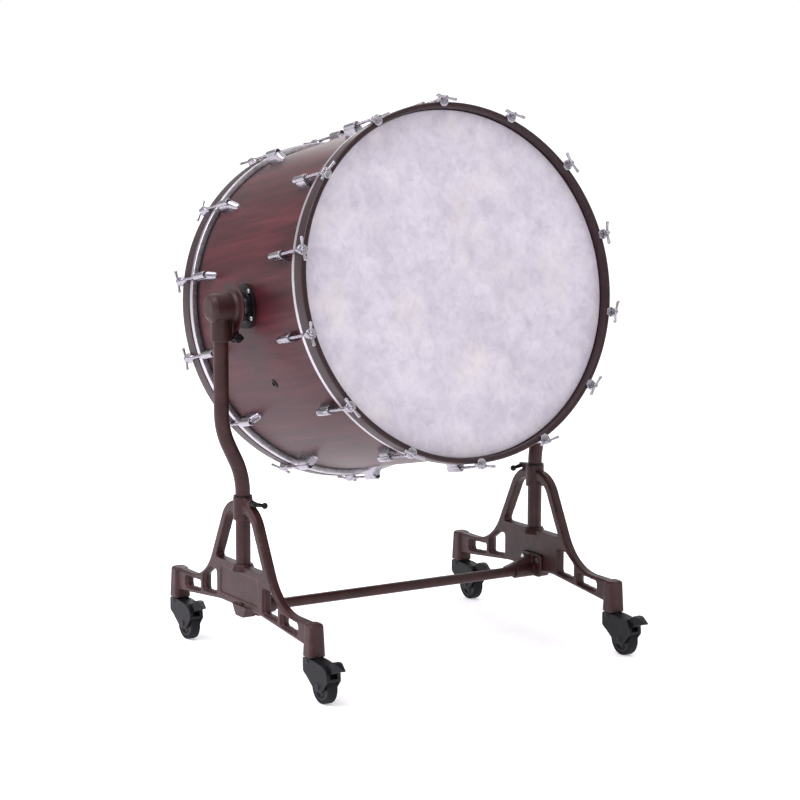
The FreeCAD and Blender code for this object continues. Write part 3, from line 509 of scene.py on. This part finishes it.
def makeClaw():
    # a wedge along the outside of the hoop, and a pressed tongue over its face from the inner edge
    face, outer = drum["hoopFace"] + 0.2, drum["hoopOuter"] + 0.2
    mid = tension["clawPlate"] / 2
    line = roundedProfile([(drum["hoopInner"] + 2.8, face + mid - 1.4), (drum["hoopInner"] + 6.5, face + mid),
                           (outer + 2, face + mid), (outer + 9, face + mid - 1)], [0, 2.5, 3, 0], 8)
    path = np.stack([line[:, 0], line[:, 1], 0 * line[:, 0]], -1)
    share = np.linspace(0, 1, len(path))
    widening = np.sin(np.clip(share * 1.3, 0, 1) * math.pi / 2)
    drawnIn = np.clip(share - 0.8, 0, 1) * 5
    width = (claw["tipHalf"] + claw["swell"] * widening - claw["drawIn"] * drawnIn)[:, None]
    section = ringSection(1, 20, 5.0)[None] * np.stack([width, 0 * width + mid], -1)
    tongue = sweepFlat(path, section, side=(0, 0, 1))
    share = np.linspace(0, 1, 24)
    along = tension["clawBack"] + (face + mid + claw["nose"] - tension["clawBack"]) * share
    ends = roundedEnds(share, 0.22, 0.10)
    rising = np.sin(np.clip(share * 1.5, 0, 1) * math.pi / 2)
    tops = outer + (claw["backHeight"] + claw["rise"] * rising) * (0.55 + 0.45 * ends)
    widths = (claw["backHalf"] + claw["spread"] * share ** 1.3) * (0.5 + 0.5 * ends)
    return joined([tongue, saddle(along, outer, tops, widths, 2.6)])


# the thread is coarser than the real one, so that it shows
handle = {"radius": 2.9, "knob": 1.7, "bow": 4.0, "washer": 2.4, "threadDepth": 0.28, "threadPitch": 2.4}


def makeTensionRod(handleAngle):
    # shank with rolled thread, washer, hub and a gently bowed cross handle with swelling ends
    start, end = tension["lugEnd"] - 4, tension["handleAt"]
    seat = drum["hoopFace"] + 0.2 + tension["clawPlate"] + 2
    a = np.linspace(start, seat - 34, 84)
    crest = handle["threadDepth"]
    wave = np.cos(a * 2 * math.pi / handle["threadPitch"])
    thread = np.stack([tension["rod"] - crest + crest * wave, a], -1)
    shank = np.vstack([[(0, start)], thread, [(tension["rod"], seat - 32), (tension["rod"], end), (0, end)]])
    parts = [turn(shank, "y", 12, closed=False)]
    onWasher = seat + handle["washer"]
    washer = roundedProfile([(3.4, seat), (6.6, seat), (6.6, onWasher), (3.4, onWasher)], [0, 0.7, 0.7, 0])
    parts.append(turn(washer, "y", 20))
    hub = roundedProfile([(0, onWasher), (5.0, onWasher), (5.6, end + 1), (4.6, end + 5), (0, end + 5)],
                         [0, 0.5, 1.5, 1.6, 0], 5)
    parts.append(turn(hub, "y", 20, closed=False))
    half = tension["handleHalf"]
    t = np.linspace(-1, 1, 33)
    path = np.stack([0 * t, end + 0.2 + handle["bow"] * t ** 2, half * t], -1)
    radius = handle["radius"] + handle["knob"] * np.abs(t) ** 3
    radius *= np.sqrt(np.clip(1 - ((np.abs(t) - 0.86) / 0.14).clip(0, 1) ** 2, 0.004, 1))
    section = ringSection(1, 14)[None] * radius[:, None, None]
    parts.append(moved(sweepFlat(path, section, side=(1, 0, 0)), about="y", angle=handleAngle))
    return moved(joined(parts), (tension["circle"], 0, 0))


def makeLug():
    # cast lug: a low tail rising into a barrel round the rod; the barrel's inner end is open
    low, high = tension["lugEnd"] - tension["lugLength"], tension["lugEnd"]
    base, top = drum["shellRadius"] - 1.5, tension["circle"] + tension["lugCover"]
    share = np.linspace(0, 1, 34)
    rise = np.clip(share / 0.42, 0, 1)
    ends = roundedEnds(share, 0.10, 0.05)
    tops = base + (8 + (top - base - 9.5) * rise * rise * (3 - 2 * rise)) * (0.4 + 0.6 * ends)
    flare = 0.62 + 0.38 * np.sin(np.clip(share * 1.7, 0, 1) * math.pi / 2)
    widths = (tension["lugWidth"] / 2) * flare * (0.45 + 0.55 * ends)
    body = saddle(low + (high - low) * share, base, tops, widths, 2.7)
    tail, mouth, bore = low + 17, 5.3, high - 24
    profile = roundedProfile([(0, bore), (mouth, bore), (mouth, tail), (8.6, tail), (8.8, high + 2),
                              (4.4, high + 2), (4.4, high - 2), (0, high - 2)],
                             [0, 0, 0.9, 1.6, 1.8, 0.4, 0, 0], 5)
    barrel = turn(profile, "y", 24, closed=False)
    return joined([body, moved(barrel, (tension["circle"], 0, 0))])


def aroundDrum(makeOne):
    # copies at equal steps, the first straight up
    parts = []
    for k in range(tension["count"]):
        angle = math.radians(90 - k * 360 / tension["count"])
        parts.append(moved(makeOne(k), about="y", angle=-angle))
    return joined(parts)


handleAngles = {"batter": rng.uniform(-0.35, 0.35, tension["count"]),
                "resonant": rng.uniform(-0.35, 0.35, tension["count"])}

makePiece("shellVeneered", [makeShell()], finishes["shell"], "drum", ["shell"])
for end in ("batter", "resonant"):
    rods = aroundDrum(lambda k: makeTensionRod(handleAngles[end][k]))
    rimPieces = [("Film", makeHead(), "head", "head_film", "_head", 35),
                 ("FleshRing", makeFleshHoop(), "flesh", "hoop_aluminium", "_flesh_hoop", 35),
                 ("WoodHoop", makeCounterhoop(), "hoop", "hoop_lacquer", "_counterhoop", 35),
                 ("ClawHooks", aroundDrum(lambda k: makeClaw()), "chrome", "bright_chrome", "_claws", 50),
                 ("HandledRods", rods, "chrome", "bright_chrome", "_tension_rods", 50)]
    for name, part, finish, slot, node, sharp in rimPieces:
        placed = onDrum(facing(part, end))
        makePiece(end + name, [placed], finishes[finish], "drum", [end + node], sharp)
lugRing = aroundDrum(lambda k: makeLug())
makePiece("castLugs", [onDrum(lugRing), onDrum(facing(lugRing, "batter"))], finishes["chrome"], "drum",
          ["lug_casings"], 50)
print("drum made")


# ---------- vent, flanges and pivots

vent = {"angle": 207.4, "offset": -15.0, "bore": 4.5, "lip": 11.0, "rise": 3.0}


def makeVent():
    # moulded grommet; its throat is closed 1.6 mm under the shell surface by a black floor, a dark disc
    # standing in for the shade inside the hole through the shell
    r = drum["shellRadius"]
    profile = roundedProfile([(0, r - 1.6), (vent["bore"], r - 1.6), (vent["bore"], r + vent["rise"]),
                              (vent["lip"], r + vent["rise"] * 0.5), (vent["lip"], r - 1.2), (0, r - 1.7)],
                             [0, 0, 1.6, 0.9, 0, 0], 6)
    part = moved(turn(profile, "x", 40, closed=False), about="y", angle=-math.radians(vent["angle"]))
    return onDrum(moved(part, (0, vent["offset"], 0)))


flange = {"radius": 52.0, "rise": 11.0, "rim": 7.0, "boss": 34.0, "step": 51.0}


def makeFlange():
    # turned plate on the shell with a low boss and a groove before the rim
    r = drum["shellRadius"]
    face = r + flange["rise"]
    rim = r + flange["rim"]
    profile = roundedProfile([(0, r - 9), (flange["radius"], r - 11), (flange["radius"], rim),
                              (flange["step"], rim), (flange["step"] - 1, rim - 0.4),
                              (flange["boss"] + 4, rim - 0.4), (flange["boss"], face), (0, face)],
                             [0, 0, 0.4, 0.2, 0.2, 1.5, 2.0, 0], 6)
    return turn(profile, "x", 96, closed=False)


makePiece("ventGrommet", [makeVent()], finishes["black"], "drum", ["vent_grommet"])
upright = {"upperX": 468.0, "lowerX": 414.0, "radius": 17.5, "top": 817.5, "foot": 245.0, "bendLow": 413.0,
           "bendRadius": 180.0, "bendAngle": 26.0}


def makeUpright():
    # tube carried down a line, an arc of the bend radius, a slope, an opposite arc and a line
    angle = math.radians(upright["bendAngle"])
    radius, high, low = upright["bendRadius"], upright["upperX"], upright["lowerX"]
    step = high - low - 2 * radius * (1 - math.cos(angle))
    straight = step / math.sin(angle)
    bendTop = upright["bendLow"] + 2 * radius * math.sin(angle) + straight * math.cos(angle)
    t = np.linspace(0, angle, 22)[1:]
    first = np.stack([high - radius * (1 - np.cos(t)), bendTop - radius * np.sin(t)], -1)
    back = t[::-1]
    second = np.stack([low + radius * (1 - np.cos(back)), upright["bendLow"] + radius * np.sin(back)], -1)
    line = np.vstack([[(high, upright["top"]), (high, 700), (high, bendTop)], first, second,
                      [(low, upright["bendLow"]), (low, 330), (low, upright["foot"])]])
    path = np.stack([line[:, 0], 0 * line[:, 0], line[:, 1]], -1)
    return sweepFlat(path, np.repeat(ringSection(upright["radius"], 40)[None], len(path), 0))


for side in ("left", "right"):
    body = side + "_upright"
    makePiece(side + "ShellPlate", [onDrum(onSide(makeFlange(), side))], finishes["flange"], "drum",
              [side + "_shell_flange"])
    makePiece(side + "BentUpright", [onSide(makeUpright(), side)], finishes["paint"], body,
              [body], 50)
    castCopy(side + "_pivot_head", 1.1, finishes["paint"], body)
    castCopy(side + "_tilt_lock", 0.7, finishes["black"], side + "_tilt_lock", 2)
    castCopy(side + "_height_lock", 0.7, finishes["black"], side + "_height_lock", 2)
    castCopy(side + "_end_frame", 2.0, finishes["paint"], "base", 3)
castCopy("crossbar_brackets", 1.4, finishes["paint"], "base")
print("stand made")


# ---------- casters

caster = {"radius": 40.0, "width": 24.0, "tyre": 9.0, "trail": 48.0, "wheelbase": 338.0}


def makeTyre():
    r, w, core = caster["radius"], caster["width"] / 2, caster["radius"] - caster["tyre"]
    # half the section, with a fine moulded groove on the side wall
    half = [(core, w - 1), (core + 3.4, w - 0.4), (core + 4.0, w - 1.0), (core + 4.6, w - 0.2), (r, w)]
    left = [(a, -b) for a, b in half]
    profile = roundedProfile(left + half[::-1], [0, 0, 0, 0, 4.5, 4.5, 0, 0, 0, 0], 8)
    return turn(profile, "x", 72)


def makeWheel():
    # hub, six-lobed dished web and rim: the web's depth follows cos 6t between hub and rim
    core, w = caster["radius"] - caster["tyre"], caster["width"] / 2
    web = w - 4.5
    half = roundedProfile([(5.2, w - 0.6), (10, w - 0.6), (12, web), (core - 6, web), (core - 4, w - 1),
                           (core, w - 1)], [0, 1.2, 1.6, 1.6, 1.0, 0], 5)
    profile = np.vstack([half, half[::-1] * [1, -1]])
    points, faces = turn(profile, "x", 96)
    r = np.hypot(points[:, 1], points[:, 2])
    t = np.arctan2(points[:, 2], points[:, 1])
    lobe = np.clip(np.cos(6 * t) * 3, 0, 1) * np.sin(np.clip((r - 11) / (core - 16), 0, 1) * math.pi)
    points[:, 0] -= np.sign(points[:, 0]) * 2.6 * lobe
    return points, faces


for x in ("left", "right"):
    for y in ("front", "back"):
        spot = y + "_" + x
        place = (frameX * (1 if x == "right" else -1),
                 caster["wheelbase"] * (1 if y == "back" else -1) - caster["trail"], caster["radius"])
        makePiece(spot + "Tread", [moved(makeTyre(), place)], finishes["tyre"], spot + "_roller",
                  [spot + "_tyre"])
        makePiece(spot + "Core", [moved(makeWheel(), place)], finishes["wheel"], spot + "_roller",
                  [spot + "_wheel"])
        castCopy(spot + "_hood", 1.1, finishes["nylon"], spot + "_caster")
        castCopy(spot + "_pedal", 0.9, finishes["nylon"], spot + "_brake", 2)
print("casters made")

carried = {"lug_bolts": "zinc", "flange_screws": "zinc", "bracket_bolts": "zinc", "crossbar": "paint"}
for side in ("left", "right"):
    carried.update({side + "_trunnion": "ground", side + "_guide_rod": "ground", side + "_pivot_bush": "bush",
                    side + "_guide_bush": "bush", side + "_guide_sleeve": "bush"})
    for y in ("front", "back"):
        carried[y + "_" + side + "_axle"] = "wheel"
for name, finish in carried.items():
    mesh = nodes[name].data
    mesh.materials.clear()
    mesh.materials.append(finishes[finish])


# ---------- floor, light and camera

studio = {"floorSize": 90.0, "floorGlow": 0.36, "horizon": 1.0, "low": 0.3, "high": 1.0}
lamps = {"overhead": {"place": (-1.8, -0.5, 4.2), "size": 2.4, "power": 58.0, "colour": "#f6efff"},
         "sideBox": {"place": (-3.6, 0.7, 3.4), "size": 1.8, "power": 95.0, "colour": "#eee2ff"},
         "fillBox": {"place": (3.6, -3.4, 2.0), "size": 2.4, "power": 8.0, "colour": "#f6f6ff"},
         "rearBox": {"place": (1.8, 3.6, 3.0), "size": 2.2, "power": 40.0, "colour": "#ffffff"}}
view = {"azimuth": -31.38, "elevation": 8.75, "roll": 0.13, "distance": 5.798, "targetZ": 0.600,
        "right": 0.0136, "lens": 108.06}


def makeFloor():
    # a wide pale sheet, faintly lit from within as a light table is
    mesh = bpy.data.meshes.new("floor")
    t = np.linspace(0, 2 * math.pi, 96, endpoint=False)
    ring = np.stack([*polar(studio["floorSize"], t), 0 * t], -1)
    mesh.from_pydata(ring.tolist(), [], [tuple(range(len(t)))])
    floor = bpy.data.objects.new("floor", mesh)
    bpy.context.scene.collection.objects.link(floor)
    material, tree, surface = startMaterial("palePaperFloor", {
        "Roughness": 0.9, "Emission Strength": studio["floorGlow"], "Emission Color": linearHex("#ffffff")})
    paper = noise(tree, objectCoords(tree), 180, 3)
    tree.links.new(ramp(tree, paper, [(0.3, "#f6f5f7"), (0.7, "#fbfafb")]), surface.inputs["Base Color"])
    mesh.materials.append(material)


def makeWorld():
    # white at the horizon, a dim room above it and brighter overhead, by the height of the direction
    world = bpy.data.worlds.new("studioWorld")
    world.use_nodes = True
    tree = world.node_tree
    height = addNode(tree, "SeparateXYZ", {0: addNode(tree, "TexCoord").outputs["Generated"]}).outputs["Z"]
    level = ramp(tree, height, [(0.0, studio["horizon"]), (0.03, studio["horizon"]), (0.10, studio["low"]),
                              (0.6, studio["high"])])
    tree.links.new(level, tree.nodes["Background"].inputs["Color"])
    bpy.context.scene.world = world


def addArea(name, place, target, size, power, colour):
    lamp = bpy.data.lights.new(name, "AREA")
    lamp.shape, lamp.size, lamp.energy, lamp.color = "DISK", size, power, linearHex(colour)[:3]
    holder = bpy.data.objects.new(name, lamp)
    holder.location = place
    holder.rotation_euler = (Vector(target) - Vector(place)).to_track_quat("-Z", "Y").to_euler()
    bpy.context.scene.collection.objects.link(holder)


def makeCamera():
    a, e, roll = (math.radians(view[key]) for key in ("azimuth", "elevation", "roll"))
    back = Vector((math.sin(a) * math.cos(e), -math.cos(a) * math.cos(e), math.sin(e)))
    right = Vector((0, 0, 1)).cross(back).normalized()
    up = back.cross(right)
    rolledRight = right * math.cos(roll) + up * math.sin(roll)
    rolledUp = up * math.cos(roll) - right * math.sin(roll)
    target = Vector((0, 0, view["targetZ"])) + right * view["right"]
    lens = bpy.data.cameras.new("studioCamera")
    lens.lens, lens.sensor_width = view["lens"], 36.0
    camera = bpy.data.objects.new("studioCamera", lens)
    camera.location = target + back * view["distance"]
    camera.rotation_euler = Matrix((rolledRight, rolledUp, back)).transposed().to_euler()
    bpy.context.scene.collection.objects.link(camera)
    bpy.context.scene.camera = camera


makeFloor()
makeWorld()
for name, lamp in lamps.items():
    addArea(name, lamp["place"], (0, 0, 0.85), lamp["size"], lamp["power"], lamp["colour"])
makeCamera()
bpy.context.scene.view_settings.view_transform = "Standard"
